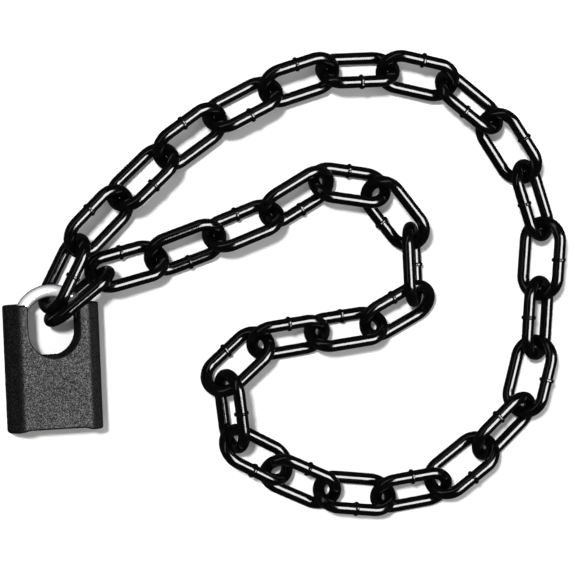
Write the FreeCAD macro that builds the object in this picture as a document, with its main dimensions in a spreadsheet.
"""Chain lock: a shrouded-shackle padlock holding a 33-link welded chain.

Units are millimetres.  Origin: centre of the padlock's flat back face.
+X across the padlock, +Y along it towards the shackle, +Z out of its front face.
The lock lies on its back, with the chain lying in a loop beside it on the plane z = 0.
"""
import FreeCAD, Part
import math
import os
import Sketcher
from FreeCAD import Vector as V, Placement, Rotation

# Driving dimensions.  Inside the padlock, lengthwise places (names in _y, _low, _high, _end
# and _floor, but not lobe_end) are counted up from its bottom end.
SIZES = dict(
    # chain link: round wire bent to a racetrack, with a weld bead on one side bar
    wire_diameter=6.2, link_gauge=19.6, link_axis_length=38.5,
    weld_radius=3.39, weld_half_length=1.9,
    # padlock body
    body_width=48.2, body_length=64.7, front_z=20.4, ridge_x=17.6, crease_radius=4.5,
    side_front_z=14.6, side_back_z=5.2, back_half_width=20.4,
    relief_depth=1.25, relief_inner_x=12.6, relief_outer_x=20.0,
    wall_front=2.2, wall_back=2.2, wall_top=2.0,
    # U opening between the two shoulders
    u_half_width=12.9, u_floor=37.7, u_flare=1.6, u_flat=0.6,
    # shackle; axis_z is shared by shackle, balls, cam and cylinder
    shackle_radius=3.3, arch_radius=16.4, arch_y=54.8, axis_z=10.8, heel_end=20.0, toe_end=25.8,
    leg_tip_length=0.8, leg_tip_taper=0.7, shackle_bore_radius=3.4, heel_bore_floor=8.0, lift=4.0,
    # spring under the heel leg
    spring_low=8.45, spring_length=11.1, spring_pitch=1.85, spring_radius=2.35,
    spring_wire_radius=0.4,
    # ball lock
    ball_radius=3.95, ball_x=10.5, ball_y=31.5, ball_channel_radius=4.0, ball_travel=1.45,
    notch_radius=4.06, cam_half_x=6.3, cam_half_z=4.95, cam_low=27.1, cam_high=34.3,
    cam_cavity_radius=6.7,
    # core
    core_half_width=22.3, core_low=3.45, core_high=62.6, core_back_z=2.3, core_front_z=18.1,
    # bottom plate and its rivets
    plate_low=1.4, plate_high=3.4, rivet_radius=1.5, rivet_head_radius=2.3, rivet_x=17.0,
    rivet_mid_z=10.5, rivet_half_spacing=4.0, rivet_high=7.8, rivet_inset=0.1,
    rivet_head_height=0.68, rivet_seat_depth=0.8,
    # cylinder
    housing_radius=6.8, housing_high=25.2, lobe_end=14.4, lobe_half_width=3.4,
    seat_clearance=0.05, plug_radius=5.2, plug_low=1.0, plug_clearance=0.05, key_width=2.0,
    keyway_back=4.2, keyway_depth=22.6, neck_radius=4.4, clip_radius=6.2,
    tongue_width=2.2, tongue_length=6.0,
    drill_pin_radius=0.6, drill_pin_offset=4.35, drill_pin_length=11.6, drill_hole_depth=12.0,
    # pin stacks
    pin_radius=1.35, pin_clearance=0.04, first_pin_y=8.6, pin_pitch=3.6,
    key_pin_gap=0.22, pin_tip_length=0.7, pin_tip_taper=0.75,
    driver_gap=0.18, driver_length=2.9, cap_inset=1.35, cap_length=1.3,
)

KEY_CUTS = [2.0, 0.9, 2.4, 1.4, 0.6]    # one per pin, bottom end first
KEY_CUT_ZERO = 1.0                      # cut value that puts a pin's tip at x = 0
COIL_RADIUS, COIL_WIRE_RADIUS, COIL_TURNS, COIL_END_GAP = 1.0, 0.26, 4.0, 0.3

ALONG_X = Rotation(V(0, 1, 0), 90)
UP_Y = Rotation(V(1, 0, 0), -90)
DOWN_Y = Rotation(V(1, 0, 0), 90)

# Resting pose of each link: centre x, y, z, unit quaternion x, y, z, w, and the side bar
# (+1 or -1 along the link's own y) that carries the weld.
LINKS = [
    (7.4912, 47.2521, 12.5815, 0.708456, 0.421457, 0.291087, 0.485523, 1),
    (26.3399, 72.7886, 12.8524, 0.245787, 0.119046, 0.347742, 0.896935, 1),
    (50.0669, 94.4647, 11.7048, 0.843406, 0.321874, 0.142823, 0.405790, 1),
    (75.4236, 114.1464, 11.7899, 0.268657, 0.084211, 0.276091, 0.918970, 1),
    (103.5894, 129.5154, 10.9668, 0.883289, 0.197768, 0.091436, 0.415124, 1),
    (133.4688, 141.1380, 11.9037, 0.296735, 0.035790, 0.132594, 0.945032, 1),
    (165.1436, 145.0403, 10.9705, 0.904729, 0.003301, 0.000999, 0.425973, 1),
    (196.8055, 141.0684, 12.2817, 0.307090, -0.043358, -0.116573, 0.943518, 1),
    (224.6854, 126.5850, 10.5275, 0.861694, -0.317704, -0.136894, 0.371224, 1),
    (245.3874, 102.6628, 10.4527, 0.292618, -0.144435, -0.465220, 0.822851, 1),
    (257.5015, 73.8315, 10.2680, 0.737428, -0.559590, -0.228621, 0.301316, 1),
    (261.3648, 42.8982, 9.9621, -0.238700, 0.240301, 0.701087, -0.627499, 1),
    (257.8244, 11.8618, 10.2658, -0.620158, 0.687157, 0.280944, -0.253552, 1),
    (252.6462, -18.7347, 9.7572, -0.206136, 0.276348, 0.751581, -0.562375, 1),
    (237.1406, -44.1362, 10.4262, -0.321569, 0.873152, 0.336547, -0.144691, 1),
    (213.5688, -63.4005, 9.5993, -0.101329, 0.319809, 0.898049, -0.284540, 1),
    (185.6940, -74.7461, 9.5216, -0.053583, 0.942222, 0.330142, -0.018775, 1),
    (155.0714, -74.5285, 9.7309, 0.023207, 0.342902, 0.936941, 0.063410, 1),
    (126.4956, -66.4733, 9.5846, 0.214722, 0.917583, 0.325767, 0.076232, 1),
    (103.4237, -51.0685, 10.7600, 0.152235, 0.271932, 0.925479, 0.215329, 1),
    (91.0222, -27.5940, 13.7925, 0.563983, 0.579718, 0.467386, 0.356931, 1),
    (95.9987, -2.5454, 9.9126, 0.878143, 0.320137, 0.121760, 0.333994, -1),
    (123.0325, 8.4447, 9.7480, 0.344509, 0.019684, 0.053539, 0.937048, 1),
    (153.7750, 11.2287, 10.4909, 0.918145, 0.049047, 0.020974, 0.392637, -1),
    (181.9744, 19.4252, 8.9631, 0.289006, 0.068341, 0.219742, 0.929257, 1),
    (189.9381, 43.3171, 12.8806, 0.363213, 0.397987, 0.582469, 0.608615, -1),
    (182.3887, 70.2166, 10.7138, 0.419078, 0.839865, 0.297361, 0.174861, -1),
    (158.7756, 85.7399, 9.7315, 0.030678, 0.342323, 0.935327, 0.083892, -1),
    (130.3493, 80.9880, 9.6789, -0.233147, 0.911969, 0.327634, -0.081309, -1),
    (101.5061, 67.2949, 10.8878, -0.071463, 0.414354, 0.893989, -0.154881, -1),
    (70.8958, 57.6279, 9.8265, -0.157276, 0.946042, 0.282529, -0.021145, -1),
    (40.0028, 49.2277, 10.7211, 0.001943, 0.340035, 0.933148, -0.116647, -1),
    (14.4671, 35.4400, 14.0648, -0.225481, 0.626678, 0.710440, -0.227394, -1),
]


# ---------------------------------------------------------------- sizes and expressions
class Size(float):
    """A number that also carries the sheet expression it comes from."""

    def __new__(cls, value, text):
        self = super().__new__(cls, value)
        self.text = text
        return self

    def __str__(self):
        return self.text

    def __add__(self, other):
        return Size(float(self) + float(other), "(%s+%s)" % (self, other))

    def __radd__(self, other):
        return Size(float(other) + float(self), "(%s+%s)" % (other, self))

    def __sub__(self, other):
        return Size(float(self) - float(other), "(%s-%s)" % (self, other))

    def __rsub__(self, other):
        return Size(float(other) - float(self), "(%s-%s)" % (other, self))

    def __mul__(self, other):
        return Size(float(self) * float(other), "(%s*%s)" % (self, other))

    __rmul__ = __mul__

    def __truediv__(self, other):
        return Size(float(self) / float(other), "(%s/%s)" % (self, other))

    def __neg__(self):
        return 0 - self


class SizeTable:
    """Holds every sheet size as an attribute."""


doc = FreeCAD.newDocument("chain_lock")
sheet = doc.addObject("Spreadsheet::Sheet", "sizes")
size = SizeTable()
for line, (alias, number) in enumerate(SIZES.items(), 1):
    sheet.set("A%d" % line, alias)
    sheet.set("B%d" % line, str(number))
    sheet.setAlias("B%d" % line, alias)
    setattr(size, alias, Size(number, "sizes." + alias))
doc.recompute()

PARTS = []


def keep(obj):
    """Mark an object as a finished piece, exported under its label."""
    PARTS.append(obj)


def tie(obj, path, value):
    """Bind a property to the value's sheet expression, if it has one."""
    if isinstance(value, Size):
        obj.setExpression(path, value.text)


def row(y):
    """Document y of a place counted up from the padlock's bottom end."""
    return -size.body_length / 2 + y


# ---------------------------------------------------------------- Part helpers
def solid(kind, name, x=0, y=0, z=0, turn=Rotation(), **dims):
    """Part primitive with its dimensions and position tied to the sheet."""
    obj = doc.addObject("Part::" + kind, name)
    for prop, value in dims.items():
        if isinstance(value, Size):
            tie(obj, prop, value)
        else:
            setattr(obj, prop, value)
    obj.Placement = Placement(V(x, y, z), turn)
    for axis, value in zip("xyz", (x, y, z)):
        tie(obj, "Placement.Base." + axis, value)
    return obj


def fuse(name, shapes):
    obj = doc.addObject("Part::MultiFuse", name)
    obj.Shapes = shapes
    return obj


def keep_compound(name, items):
    obj = doc.addObject("Part::Compound", name)
    obj.Links = items
    keep(obj)


# ---------------------------------------------------------------- sketch helpers
def new_body(name):
    return doc.addObject("PartDesign::Body", name)


def new_sketch(body, name, role, offset):
    """Sketch on one of the body's own planes, moved along the plane's normal."""
    sketch = body.newObject("Sketcher::SketchObject", name)
    origin_plane = next(f for f in body.Origin.OriginFeatures if f.Role == role)
    sketch.AttachmentSupport = [(origin_plane, "")]
    sketch.MapMode = "FlatFace"
    sketch.AttachmentOffset = Placement(V(0, 0, offset), Rotation())
    tie(sketch, "AttachmentOffset.Base.z", offset)
    return sketch


def section(body, name, y):
    """Cross-section sketch in x, z at y from the bottom end; the plane's normal is -Y."""
    return new_sketch(body, name, "XZ_Plane", size.body_length / 2 - y)


def plan(body, name):
    """Sketch in x, y through the shackle axes."""
    return new_sketch(body, name, "XY_Plane", size.axis_z)


def hold(sketch, geometry, point, axis, value):
    """Hold a point's sketch X or Y at a value."""
    if abs(value) < 1e-9:
        axis_line = -2 if axis == "X" else -1
        sketch.addConstraint(Sketcher.Constraint("PointOnObject", geometry, point, axis_line))
        return
    index = sketch.addConstraint(
        Sketcher.Constraint("Distance" + axis, geometry, point, float(value)))
    tie(sketch, "Constraints[%d]" % index, value)


def polygon(sketch, points):
    """Closed polygon in an empty sketch, every corner held."""
    count = len(points)
    corners = [V(x, y, 0) for x, y in points]
    for i in range(count):
        sketch.addGeometry(Part.LineSegment(corners[i], corners[(i + 1) % count]), False)
    for i in range(count):
        sketch.addConstraint(Sketcher.Constraint("Coincident", i, 2, (i + 1) % count, 1))
    for i, (x, y) in enumerate(points):
        hold(sketch, i, 1, "X", x)
        hold(sketch, i, 1, "Y", y)


def rectangle(sketch, x_from, x_to, half_height):
    """Rectangle lying evenly about axis_z."""
    low, high = size.axis_z - half_height, size.axis_z + half_height
    polygon(sketch, [(x_from, low), (x_to, low), (x_to, high), (x_from, high)])


def circle(sketch, x, y, radius):
    geometry = sketch.addGeometry(Part.Circle(V(x, y, 0), V(0, 0, 1), float(radius)), False)
    hold(sketch, geometry, 3, "X", x)
    hold(sketch, geometry, 3, "Y", y)
    index = sketch.addConstraint(Sketcher.Constraint("Radius", geometry, float(radius)))
    tie(sketch, "Constraints[%d]" % index, radius)


def blocked(sketch, geometry):
    """Add computed geometry and lock it where it is."""
    sketch.addGeometry(geometry, False)
    for i in range(len(geometry)):
        sketch.addConstraint(Sketcher.Constraint("Block", i))


def chamfered_section(sketch, front_half, front_z, side_half, side_front_z, side_back_z,
                      back_half, back_z):
    """Eight-sided padlock section, mirrored about x = 0."""
    right = [(front_half, front_z), (side_half, side_front_z), (side_half, side_back_z),
             (back_half, back_z)]
    polygon(sketch, right + [(-x, z) for x, z in reversed(right)])


def finish(sketch):
    sketch.Visibility = False
    doc.recompute()


def pad(body, name, sketch, length):
    """Pad a cross-section towards +Y."""
    feature = body.newObject("PartDesign::Pad", name)
    feature.Profile = sketch
    feature.Length = float(length)
    tie(feature, "Length", length)
    feature.Reversed = True
    finish(sketch)


def pocket(body, name, sketch, length=None, reverse=False, symmetric=False):
    """Cut against the sketch normal (+Y from a cross-section); through all without a length."""
    feature = body.newObject("PartDesign::Pocket", name)
    feature.Profile = sketch
    if length is None:
        feature.Type = "ThroughAll"
    else:
        feature.Length = float(length)
        tie(feature, "Length", length)
    if reverse:
        feature.Reversed = True
    if symmetric:
        # SideType takes Midplane's place where the property exists
        if "SideType" in feature.PropertiesList:
            feature.SideType = "Symmetric"
        else:
            feature.Midplane = True
    finish(sketch)


def turned(body, kind, name, sketch, angle):
    """Revolution or groove about the sketch's vertical axis."""
    feature = body.newObject("PartDesign::" + kind, name)
    feature.Profile = sketch
    feature.ReferenceAxis = (sketch, ["V_Axis"])
    feature.Angle = angle
    finish(sketch)


def fillet(body, name, edges, radii):
    """Fillet with the first radius that gives a valid solid; leave sharp if none does."""
    tip = body.Tip
    feature = body.newObject("PartDesign::Fillet", name)
    feature.Base = (tip, edges)
    for radius in radii:
        feature.Radius = radius
        doc.recompute()
        if feature.isValid() and feature.Shape.isValid() and feature.Shape.Volume > 0:
            return
    body.removeObject(feature)
    doc.removeObject(feature.Name)
    body.Tip = tip
    doc.recompute()


def edges_along_y(shape, side_x, z_above=-1, z_below=30):
    """Names of the straight edges along Y at x = +-side_x, between two z levels."""
    names = []
    for i, edge in enumerate(shape.Edges, 1):
        if len(edge.Vertexes) != 2 or edge.Curve.TypeId != "Part::GeomLine":
            continue
        start, end = (vertex.Point for vertex in edge.Vertexes)
        along_y = abs(start.x - end.x) < 1e-6 and abs(start.z - end.z) < 1e-6
        if along_y and abs(abs(start.x) - side_x) < 1e-4 and z_above < start.z < z_below:
            names.append("Edge%d" % i)
    return names


# ---------------------------------------------------------------- shapes shared by pieces
def arch_slot(body, name, radius):
    """Half ring cut where the shackle's arch starts to bend inside the shoulders."""
    sketch = section(body, name + "_round", size.arch_y)
    circle(sketch, size.arch_radius, size.axis_z, radius)
    turned(body, "Groove", name + "_slot", sketch, 180)


def u_outline(sketch, flat_floor):
    """U opening, flared at the shoulders' tops; its round floor may be cut by a short flat."""
    half, flare = size.u_half_width, size.u_flare
    overshoot = 4.0
    top_y = row(size.body_length)
    floor_y = row(size.u_floor)
    centre_y = floor_y + half
    left, right = V(-half, centre_y, 0), V(half, centre_y, 0)
    if flat_floor:
        flat_x = math.sqrt(2 * half * size.u_flat - size.u_flat ** 2)
        flat_y = floor_y + size.u_flat
        angle = 0.5 * (math.asin(flat_x / half) + math.pi / 2)
        mid_x, mid_y = half * math.sin(angle), centre_y - half * math.cos(angle)
        flat_left, flat_right = V(-flat_x, flat_y, 0), V(flat_x, flat_y, 0)
        geometry = [Part.Arc(left, V(-mid_x, mid_y, 0), flat_left),
                    Part.LineSegment(flat_left, flat_right),
                    Part.Arc(flat_right, V(mid_x, mid_y, 0), right)]
    else:
        geometry = [Part.Arc(left, V(0, floor_y, 0), right)]

    diagonal = math.sqrt(0.5) * flare
    wide = half + flare

    def flare_points(side):
        return (V(side * half, top_y - flare, 0),
                V(side * (wide - diagonal), top_y - flare + diagonal, 0),
                V(side * wide, top_y, 0),
                V(side * wide, top_y + overshoot, 0))

    wall_r, bend_r, rim_r, above_r = flare_points(1)
    wall_l, bend_l, rim_l, above_l = flare_points(-1)
    geometry += [Part.LineSegment(right, wall_r),
                 Part.Arc(wall_r, bend_r, rim_r),
                 Part.LineSegment(rim_r, above_r),
                 Part.LineSegment(above_r, above_l),
                 Part.LineSegment(above_l, rim_l),
                 Part.Arc(rim_l, bend_l, wall_l),
                 Part.LineSegment(wall_l, left)]
    blocked(sketch, geometry)


def core_outline(sketch):
    """Section shared by the core and the bottom plate."""
    chamfered_section(sketch,
                      front_half=size.ridge_x - 1.0, front_z=size.core_front_z,
                      side_half=size.core_half_width,
                      side_front_z=size.side_front_z - 1.3, side_back_z=size.side_back_z + 0.7,
                      back_half=size.back_half_width - 1.4, back_z=size.core_back_z)


def rivet_spots():
    """x, z of the four rivets."""
    return [(side * size.rivet_x, size.rivet_mid_z + level * size.rivet_half_spacing)
            for side in (1, -1) for level in (1, -1)]


def rivet_circles(sketch, radius):
    for x, z in rivet_spots():
        circle(sketch, x, z, radius)


def pin_rows():
    """Document y of the five pins."""
    return [row(size.first_pin_y + i * size.pin_pitch) for i in range(len(KEY_CUTS))]


def pin_circles(sketch):
    for y in pin_rows():
        circle(sketch, y, size.axis_z, size.pin_radius + size.pin_clearance)


# ---------------------------------------------------------------- chain
def chain_link(number, pose):
    """Two half-ring ends, two side bars and a weld bead around one bar."""
    x, y, z, *quaternion, weld_side = pose
    name = "link_%02d" % number
    bar_length = size.link_axis_length - size.link_gauge
    half, bar_y = bar_length / 2, size.link_gauge / 2
    wire_radius = size.wire_diameter / 2
    pieces = []
    for side, letter in ((1, "a"), (-1, "b")):
        pieces.append(solid("Torus", name + "_end_" + letter, x=side * half,
                            turn=Rotation(V(0, 0, 1), -90 * side),
                            Angle3=180, Radius1=bar_y, Radius2=wire_radius))
        pieces.append(solid("Cylinder", name + "_bar_" + letter, x=-half, y=side * bar_y,
                            turn=ALONG_X, Radius=wire_radius, Height=bar_length))
    pieces.append(solid("Ellipsoid", name + "_weld", y=weld_side * bar_y, turn=ALONG_X,
                        Radius1=size.weld_half_length, Radius2=size.weld_radius,
                        Radius3=size.weld_radius))
    link = fuse(name, pieces)
    link.Refine = True
    link.Placement = Placement(V(x, y, z), Rotation(*quaternion))
    keep(link)


# ---------------------------------------------------------------- outer shell
def relief_outline(sketch):
    """Bottom edge: level at both sides, easing up to a shallow relief across the middle."""
    base_y = row(0)
    depth, inner, outer = size.relief_depth, size.relief_inner_x, size.relief_outer_x
    radius = ((outer - inner) ** 2 + depth ** 2) / (4 * depth)
    sweep = math.asin((outer - inner) / 2 / radius)
    quarter = math.pi / 2
    reach, below_y = 30, base_y - 4

    def ease(centre_x, centre_y, start, end):
        return Part.Arc(*[V(centre_x + radius * math.cos(a), centre_y + radius * math.sin(a), 0)
                          for a in (start, (start + end) / 2, end)])

    def straight(x1, y1, x2, y2):
        return Part.LineSegment(V(x1, y1, 0), V(x2, y2, 0))

    low_y, high_y = base_y + radius, base_y + depth - radius
    blocked(sketch, [
        straight(-reach, base_y, -outer, base_y),
        ease(-outer, low_y, -quarter, -quarter + sweep),
        ease(-inner, high_y, quarter + sweep, quarter),
        straight(-inner, base_y + depth, inner, base_y + depth),
        ease(inner, high_y, quarter, quarter - sweep),
        ease(outer, low_y, -quarter - sweep, -quarter),
        straight(outer, base_y, reach, base_y),
        straight(reach, base_y, reach, below_y),
        straight(reach, below_y, -reach, below_y),
        straight(-reach, below_y, -reach, base_y)])


def rim_edges(shape):
    """Edges at both ends of the body and round the U opening's front rim."""
    names = []
    for i, edge in enumerate(shape.Edges, 1):
        box = edge.BoundBox
        at_end = box.YLength < 1e-6 and abs(abs(box.YMin) - size.body_length / 2) < 1e-6
        # the full-depth edge where each flare meets its shoulder's top stays out
        flare_end = (box.ZLength > 19 and box.XLength < 1e-6
                     and box.XMax < 16 and box.XMin > -16)
        on_rim = (box.ZLength < 1e-6 and abs(box.ZMin - size.front_z) < 1e-6
                  and box.XMax < 15.2 and box.XMin > -15.2 and box.YMin > 4)
        if (at_end and not flare_end) or on_rim:
            names.append("Edge%d" % i)
    return names


def outer_shell():
    body = new_body("outer_shell")
    overshoot = 2
    sketch = section(body, "shell_section", -overshoot)
    chamfered_section(sketch, front_half=size.ridge_x, front_z=size.front_z,
                      side_half=size.body_width / 2,
                      side_front_z=size.side_front_z, side_back_z=size.side_back_z,
                      back_half=size.back_half_width, back_z=0)
    # the pad starts below the bottom end and stops at the shoulders' tops
    pad(body, "shell_pad", sketch, size.body_length + overshoot)

    fillet(body, "flank_round", edges_along_y(body.Shape, size.body_width / 2), [4.4, 3.6])
    fillet(body, "crease_round", edges_along_y(body.Shape, size.ridge_x, z_above=15),
           [float(size.crease_radius), 3.0, 1.5])
    fillet(body, "back_round", edges_along_y(body.Shape, size.back_half_width, z_below=1),
           [2.5, 1.5])

    # in front of the shackle axes the U has a round floor, behind them a flat one
    sketch = plan(body, "u_front")
    u_outline(sketch, flat_floor=False)
    pocket(body, "u_cut_front", sketch, reverse=True)
    sketch = plan(body, "u_back")
    u_outline(sketch, flat_floor=True)
    pocket(body, "u_cut_back", sketch)

    sketch = plan(body, "bottom_relief")
    relief_outline(sketch)
    pocket(body, "relief_cut", sketch, symmetric=True)
    fillet(body, "edge_round", rim_edges(body.Shape), [1.1, 1.0, 0.8, 0.6])

    sketch = section(body, "cavity_section", 0)
    chamfered_section(sketch,
                      front_half=size.ridge_x - 0.9, front_z=size.front_z - size.wall_front,
                      side_half=size.core_half_width + 0.15,
                      side_front_z=size.side_front_z - 1.2, side_back_z=size.side_back_z + 0.6,
                      back_half=size.back_half_width - 1.2, back_z=size.wall_back)
    pocket(body, "cavity", sketch, size.body_length - size.wall_top)

    bore_radius = size.shackle_bore_radius + 0.2
    sketch = section(body, "shell_bores", size.body_length)
    for x in (size.arch_radius, -size.arch_radius):
        circle(sketch, x, size.axis_z, bore_radius)
    pocket(body, "shell_bore_cut", sketch, size.wall_top + 1, reverse=True)
    arch_slot(body, "shell_arch", bore_radius)
    keep(body)


# ---------------------------------------------------------------- lock core
def lock_core():
    body = new_body("lock_core")
    sketch = section(body, "core_section", size.core_low)
    core_outline(sketch)
    pad(body, "core_pad", sketch, size.core_high - size.core_low)
    sketch = plan(body, "core_u")
    u_outline(sketch, flat_floor=True)
    pocket(body, "core_u_cut", sketch, symmetric=True)

    for name, x, depth in (
            ("heel_bore", -size.arch_radius, size.core_high - size.heel_bore_floor),
            ("toe_bore", size.arch_radius, size.core_high - size.housing_high - 0.3)):
        sketch = section(body, name, size.core_high)
        circle(sketch, x, size.axis_z, size.shackle_bore_radius)
        pocket(body, name + "_cut", sketch, depth, reverse=True)
    arch_slot(body, "core_arch", size.shackle_bore_radius)

    sketch = new_sketch(body, "ball_channel", "YZ_Plane", 0)
    circle(sketch, row(size.ball_y), size.axis_z, size.ball_channel_radius)
    pocket(body, "ball_channel_cut", sketch, 2 * size.arch_radius, symmetric=True)
    sketch = section(body, "cam_cavity", size.housing_high)
    circle(sketch, 0, size.axis_z, size.cam_cavity_radius)
    pocket(body, "cam_cavity_cut", sketch, size.cam_high + 0.3 - size.housing_high)

    clearance = size.seat_clearance
    seat_depth = size.housing_high - size.core_low + clearance
    sketch = section(body, "housing_seat", size.core_low)
    circle(sketch, 0, size.axis_z, size.housing_radius + clearance)
    pocket(body, "housing_seat_cut", sketch, seat_depth)
    sketch = section(body, "lobe_seat", size.core_low)
    rectangle(sketch, 1, size.lobe_end + clearance, size.lobe_half_width + clearance)
    pocket(body, "lobe_seat_cut", sketch, seat_depth)

    sketch = section(body, "rivet_holes", size.core_low)
    rivet_circles(sketch, size.rivet_radius + 0.02)
    pocket(body, "rivet_hole_cut", sketch, size.rivet_high - size.core_low + 0.2)
    keep(body)


# ---------------------------------------------------------------- bottom plate
def bottom_plate():
    body = new_body("bottom_plate")
    sketch = section(body, "plate_section", size.plate_low)
    core_outline(sketch)
    pad(body, "plate_pad", sketch, size.plate_high - size.plate_low)
    sketch = section(body, "plate_plug_hole", size.plate_low)
    circle(sketch, 0, size.axis_z, size.plug_radius + 0.2)
    pocket(body, "plate_plug_cut", sketch)
    sketch = section(body, "plate_rivet_holes", size.plate_low)
    rivet_circles(sketch, size.rivet_radius + 0.02)
    pocket(body, "plate_rivet_cut", sketch)
    sketch = section(body, "plate_head_seats", size.plate_low)
    rivet_circles(sketch, size.rivet_head_radius + 0.03)
    pocket(body, "plate_head_cut", sketch, size.rivet_seat_depth)
    keep(body)


def plate_rivets():
    """Four rivets, their heads sunk in the plate."""
    low = size.plate_low + size.rivet_inset
    rivets = []
    for i, (x, z) in enumerate(rivet_spots()):
        shank = solid("Cylinder", "rivet_shank_%d" % i, x, row(low), z, UP_Y,
                      Radius=size.rivet_radius, Height=size.rivet_high - low)
        head = solid("Cylinder", "rivet_head_%d" % i, x, row(low), z, UP_Y,
                     Radius=size.rivet_head_radius, Height=size.rivet_head_height)
        rivets.append(fuse("rivet_%d" % i, [shank, head]))
    keep_compound("plate_rivets", rivets)


# ---------------------------------------------------------------- shackle
def shackle():
    """Arch with a long heel leg (-X) and a short toe leg (+X), notched for the balls."""
    radius, axis_z = size.shackle_radius, size.axis_z
    pieces = [solid("Torus", "arch", y=row(size.arch_y), z=axis_z,
                    Angle3=180, Radius1=size.arch_radius, Radius2=radius)]
    for side, name, end in ((-1, "heel", size.heel_end), (1, "toe", size.toe_end)):
        x = side * size.arch_radius
        tip_y = end + size.leg_tip_length
        pieces.append(solid("Cylinder", name + "_leg", x, row(size.arch_y), axis_z, DOWN_Y,
                            Radius=radius, Height=size.arch_y - tip_y))
        pieces.append(solid("Cone", name + "_tip", x, row(tip_y), axis_z, DOWN_Y,
                            Radius1=radius, Radius2=radius - size.leg_tip_taper,
                            Height=size.leg_tip_length))
    bar = fuse("shackle_bar", pieces)
    bar.Refine = True

    # each notch is a ball's path as it moves inwards while the shackle lifts
    cuts = []
    travel, lift = size.ball_travel, size.lift
    for side, letter in ((-1, "l"), (1, "r")):
        x, y = side * size.ball_x, row(size.ball_y)
        cuts.append(solid("Sphere", "notch_hi_" + letter, x, y, axis_z,
                          Radius=size.notch_radius))
        cuts.append(solid("Sphere", "notch_lo_" + letter, side * (size.ball_x - travel),
                          row(size.ball_y - lift), axis_z, Radius=size.notch_radius))
        cuts.append(solid("Cylinder", "notch_run_" + letter, x, y, axis_z,
                          Rotation(V(0, 0, 1), V(-side * travel, -lift, 0)),
                          Radius=size.notch_radius, Height=math.hypot(travel, lift)))
    notched = doc.addObject("Part::Cut", "shackle")
    notched.Base = bar
    notched.Tool = fuse("notch_tool", cuts)
    keep(notched)


def shackle_spring():
    """Coil spring under the heel leg."""
    doc.recompute()
    helix = solid("Helix", "heel_helix", -size.arch_radius, row(size.spring_low), size.axis_z,
                  UP_Y, Pitch=size.spring_pitch, Height=size.spring_length,
                  Radius=size.spring_radius)
    wire = solid("Circle", "heel_wire", Radius=size.spring_wire_radius)
    doc.recompute()
    edge = helix.Shape.Edges[0]
    start = edge.FirstParameter
    wire.Placement = Placement(edge.valueAt(start),
                               Rotation(V(0, 0, 1), edge.tangentAt(start)))
    sweep = doc.addObject("Part::Sweep", "shackle_spring")
    sweep.Sections = [wire]
    sweep.Spine = (helix, [])
    sweep.Solid = True
    sweep.Frenet = True
    keep(sweep)
    doc.recompute()


# ---------------------------------------------------------------- ball lock and cam
def balls():
    for side, name in ((-1, "ball_left"), (1, "ball_right")):
        keep(solid("Sphere", name, side * size.ball_x, row(size.ball_y), size.axis_z,
                   Radius=size.ball_radius))


def cam():
    """Oval cam between the balls, slotted for the plug's tongue."""
    body = new_body("cam")
    sketch = section(body, "cam_oval", size.cam_low)
    blocked(sketch, [Part.Ellipse(V(size.cam_half_x, size.axis_z, 0),
                                  V(0, size.axis_z + size.cam_half_z, 0),
                                  V(0, size.axis_z, 0))])
    pad(body, "cam_pad", sketch, size.cam_high - size.cam_low)
    sketch = section(body, "cam_slot", size.cam_low)
    slot_x = size.tongue_length / 2 + 0.06
    rectangle(sketch, -slot_x, slot_x, size.tongue_width / 2 + 0.04)
    slot_depth = 2.6
    pocket(body, "cam_slot_cut", sketch, slot_depth)
    keep(body)


# ---------------------------------------------------------------- cylinder
def cylinder_housing():
    """Round barrel with a pin-chamber lobe towards +X."""
    body = new_body("cylinder_housing")
    length = size.housing_high - size.core_low
    sketch = section(body, "housing_round", size.core_low)
    circle(sketch, 0, size.axis_z, size.housing_radius)
    pad(body, "housing_pad", sketch, length)
    sketch = section(body, "housing_lobe", size.core_low)
    rectangle(sketch, 1.5, size.lobe_end, size.lobe_half_width)
    pad(body, "lobe_pad", sketch, length)
    sketch = section(body, "plug_bore", size.core_low)
    circle(sketch, 0, size.axis_z, size.plug_radius + size.plug_clearance)
    pocket(body, "plug_bore_cut", sketch)
    sketch = new_sketch(body, "chambers", "YZ_Plane", 0)
    pin_circles(sketch)
    pocket(body, "chamber_cut", sketch, reverse=True)
    sketch = section(body, "drill_holes", size.core_low)
    for side in (1, -1):
        circle(sketch, -size.drill_pin_offset, size.axis_z + side * size.drill_pin_offset,
               size.drill_pin_radius + 0.01)
    pocket(body, "drill_hole_cut", sketch, size.drill_hole_depth)
    keep(body)


def drill_pins():
    pins = [solid("Cylinder", "drill_pin_%d" % i, -size.drill_pin_offset,
                  row(size.core_low + 0.1), size.axis_z + side * size.drill_pin_offset, UP_Y,
                  Radius=size.drill_pin_radius, Height=size.drill_pin_length)
            for i, side in enumerate((1, -1))]
    keep_compound("drill_pins", pins)


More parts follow.
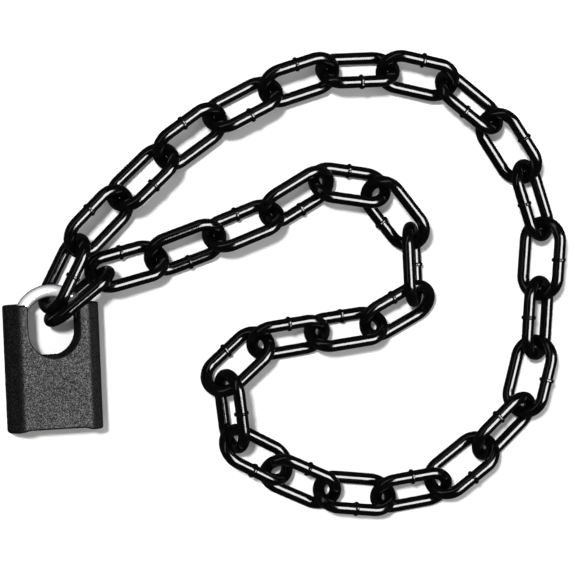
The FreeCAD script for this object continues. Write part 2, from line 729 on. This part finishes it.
def plug():
    """Turned plug with a clip neck, an end tongue, a keyway and pin holes."""
    body = new_body("plug")
    radius, axis_z = size.plug_radius, size.axis_z
    bevel = 0.5
    neck_low = row(size.housing_high + 0.05)
    neck_high = row(size.housing_high + 0.95)
    collar_high = row(size.housing_high + 1.6)
    collar_radius = radius - 0.2
    sketch = plan(body, "plug_half")
    polygon(sketch, [
        (0, row(size.plug_low)), (radius - bevel, row(size.plug_low)),
        (radius, row(size.plug_low + bevel)), (radius, neck_low),
        (size.neck_radius, neck_low), (size.neck_radius, neck_high),
        (collar_radius, neck_high), (collar_radius, collar_high), (0, collar_high)])
    turned(body, "Revolution", "plug_turned", sketch, 360)

    tongue_height = 2.7
    sketch = section(body, "tongue", size.housing_high + 1.5)
    rectangle(sketch, -size.tongue_length / 2, size.tongue_length / 2, size.tongue_width / 2)
    pad(body, "tongue_pad", sketch, tongue_height)

    # keyway: a straight slot with one shallow groove on each side
    groove = 0.55
    front, back = axis_z + size.key_width / 2, axis_z - size.key_width / 2
    overshoot = 1
    sketch = section(body, "keyway", size.plug_low - overshoot)
    polygon(sketch, [
        (2.4, back), (2.4, front),
        (0.6, front), (0.6, front + groove), (-0.5, front + groove), (-0.5, front),
        (-size.keyway_back, front), (-size.keyway_back, back),
        (-2.1, back), (-2.1, back - groove), (-1.2, back - groove), (-1.2, back)])
    pocket(body, "keyway_cut", sketch, size.keyway_depth + overshoot)

    sketch = new_sketch(body, "pin_holes", "YZ_Plane", -0.6)
    pin_circles(sketch)
    pocket(body, "pin_hole_cut", sketch, radius + 1.6, reverse=True)
    keep(body)


def plug_clip():
    """Open retaining ring in the plug's neck, its gap towards -X."""
    body = new_body("plug_clip")
    thickness, gap_half = 0.8, 2.6
    sketch = section(body, "ring", size.housing_high + 0.1)
    circle(sketch, 0, size.axis_z, size.clip_radius)
    circle(sketch, 0, size.axis_z, size.neck_radius + 0.03)
    pad(body, "ring_pad", sketch, thickness)
    sketch = section(body, "ring_gap", size.housing_high)
    rectangle(sketch, -7, -1, gap_half)
    pocket(body, "ring_gap_cut", sketch)
    keep(body)


# ---------------------------------------------------------------- pin stacks
def pin_stacks():
    """Key pins, drivers, springs and caps along +X, split at the shear line."""
    radius = size.pin_radius
    driver_x = size.plug_radius + size.driver_gap
    cap_x = size.lobe_end - size.cap_inset
    key_pins, drivers, caps = [], [], []
    for i, (cut, y) in enumerate(zip(KEY_CUTS, pin_rows())):

        def rod(kind, name, x, **dims):
            return solid(kind, "%s_%d" % (name, i), x, y, size.axis_z, ALONG_X, **dims)

        tip_x = cut - KEY_CUT_ZERO
        rod_x = tip_x + size.pin_tip_length
        tip = rod("Cone", "key_tip", tip_x, Height=size.pin_tip_length,
                  Radius1=radius - size.pin_tip_taper, Radius2=radius)
        shank = rod("Cylinder", "key_rod", rod_x, Radius=radius,
                    Height=size.plug_radius - size.key_pin_gap - rod_x)
        key_pins.append(fuse("key_pin_%d" % i, [tip, shank]))
        drivers.append(rod("Cylinder", "driver_pin", driver_x, Radius=radius,
                           Height=size.driver_length))
        caps.append(rod("Cylinder", "chamber_cap", cap_x, Radius=radius + 0.02,
                        Height=size.cap_length))
    doc.recompute()
    keep_compound("key_pins", key_pins)
    keep_compound("driver_pins", drivers)
    keep_compound("chamber_caps", caps)

    # springs between drivers and caps
    spring_x = driver_x + size.driver_length
    length = float(cap_x - spring_x - 2 * COIL_END_GAP)
    coils = []
    for y in pin_rows():
        helix = Part.makeHelix(length / COIL_TURNS, length, COIL_RADIUS)
        edge = helix.Edges[0]
        start = edge.FirstParameter
        ring = Part.Wire([Part.makeCircle(COIL_WIRE_RADIUS, edge.valueAt(start),
                                          edge.tangentAt(start))])
        coil = Part.Wire(helix.Edges).makePipeShell([ring], True, True)
        coil.Placement = Placement(V(spring_x + COIL_END_GAP, y, size.axis_z), ALONG_X)
        coils.append(coil)
    springs = doc.addObject("Part::Feature", "pin_springs")
    springs.Shape = Part.makeCompound(coils)
    keep(springs)


# ---------------------------------------------------------------- checks and export
def check():
    """Stop if any object failed or any piece is not a sound solid."""
    bad = []
    for obj in doc.Objects:
        faults = [state for state in getattr(obj, "State", []) if state in ("Invalid", "Error")]
        if faults:
            bad.append((obj.Name, faults))
    for part in PARTS:
        shape = part.Shape
        if shape.isNull() or not shape.isValid() or not shape.Solids:
            bad.append((part.Label, "shape"))
        elif any(piece.Volume <= 0 for piece in shape.Solids):
            bad.append((part.Label, "volume"))
    if bad:
        raise RuntimeError("bad objects: %r" % bad[:12])


for link_number, link_pose in enumerate(LINKS, 1):
    chain_link(link_number, link_pose)
doc.recompute()
outer_shell()
lock_core()
bottom_plate()
plate_rivets()
shackle()
shackle_spring()
balls()
cam()
cylinder_housing()
drill_pins()
plug()
plug_clip()
pin_stacks()
doc.recompute()

check()
os.makedirs("parts", exist_ok=True)
for part in PARTS:
    part.Shape.exportStep("parts/%s.step" % part.Label)
